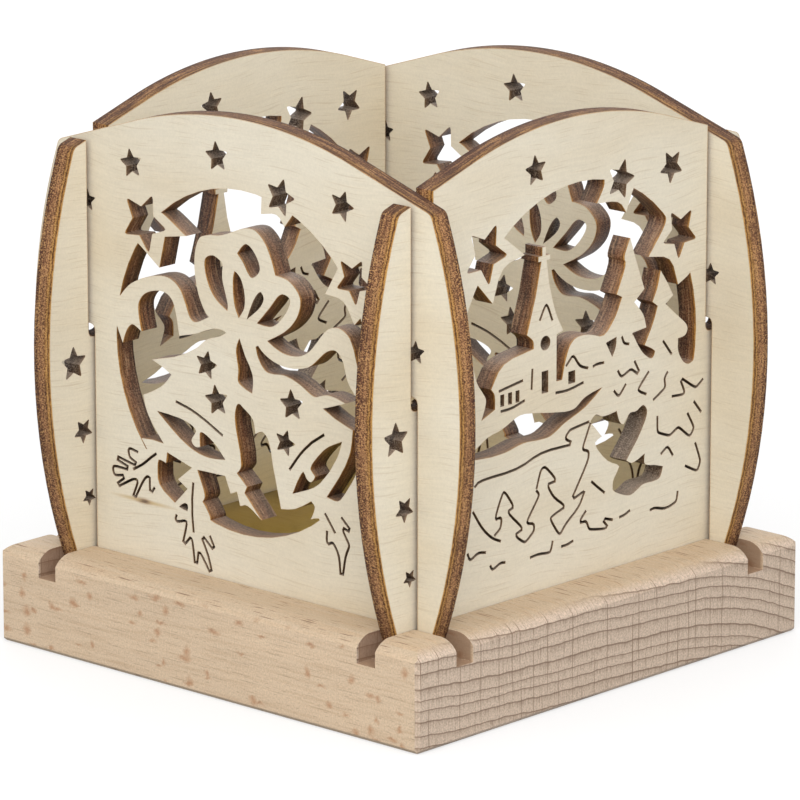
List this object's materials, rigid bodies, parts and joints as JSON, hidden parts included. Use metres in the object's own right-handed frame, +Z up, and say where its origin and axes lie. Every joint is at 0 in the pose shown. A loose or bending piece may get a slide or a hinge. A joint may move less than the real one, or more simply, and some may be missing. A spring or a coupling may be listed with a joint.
{
  "type": "tealight holder",
  "caption": "Square wooden tealight holder: a grooved block carries pierced plywood panels with bells and a snowy village, crossing at the corners, over a brass floor plate.",
  "frame": {"origin": "middle of the underside of the base block", "axes": "+Z up; -Y is the face of the front bell panel, +X the face of the right-hand church panel"},
  "size_m": [0.101, 0.101, 0.1],
  "materials": {
    "beech": "sanded bare beech",
    "birch_ply": "bare birch plywood with scorched laser-cut edges",
    "brass_sheet": "bright thin sheet"
  },
  "bodies": {
    "base": {"base_block": "beech", "floor_plate": "brass_sheet"},
    "church_pair": {"church_panel_right": "birch_ply", "church_panel_left": "birch_ply"},
    "bell_front": {"bell_panel_front": "birch_ply"},
    "bell_rear": {"bell_panel_rear": "birch_ply"}
  },
  "joints": [
    {"name": "frame_lift", "type": "slide", "parent": "base", "child": "church_pair", "axis": [0, 0, 1], "range_m": [0, 0.03]},
    {"name": "bell_front_lift", "type": "slide", "parent": "church_pair", "child": "bell_front", "axis": [0, 0, 1], "range_m": [0, 0.09]},
    {"name": "bell_rear_lift", "type": "slide", "parent": "church_pair", "child": "bell_rear", "axis": [0, 0, 1], "range_m": [0, 0.09]}
  ]
}
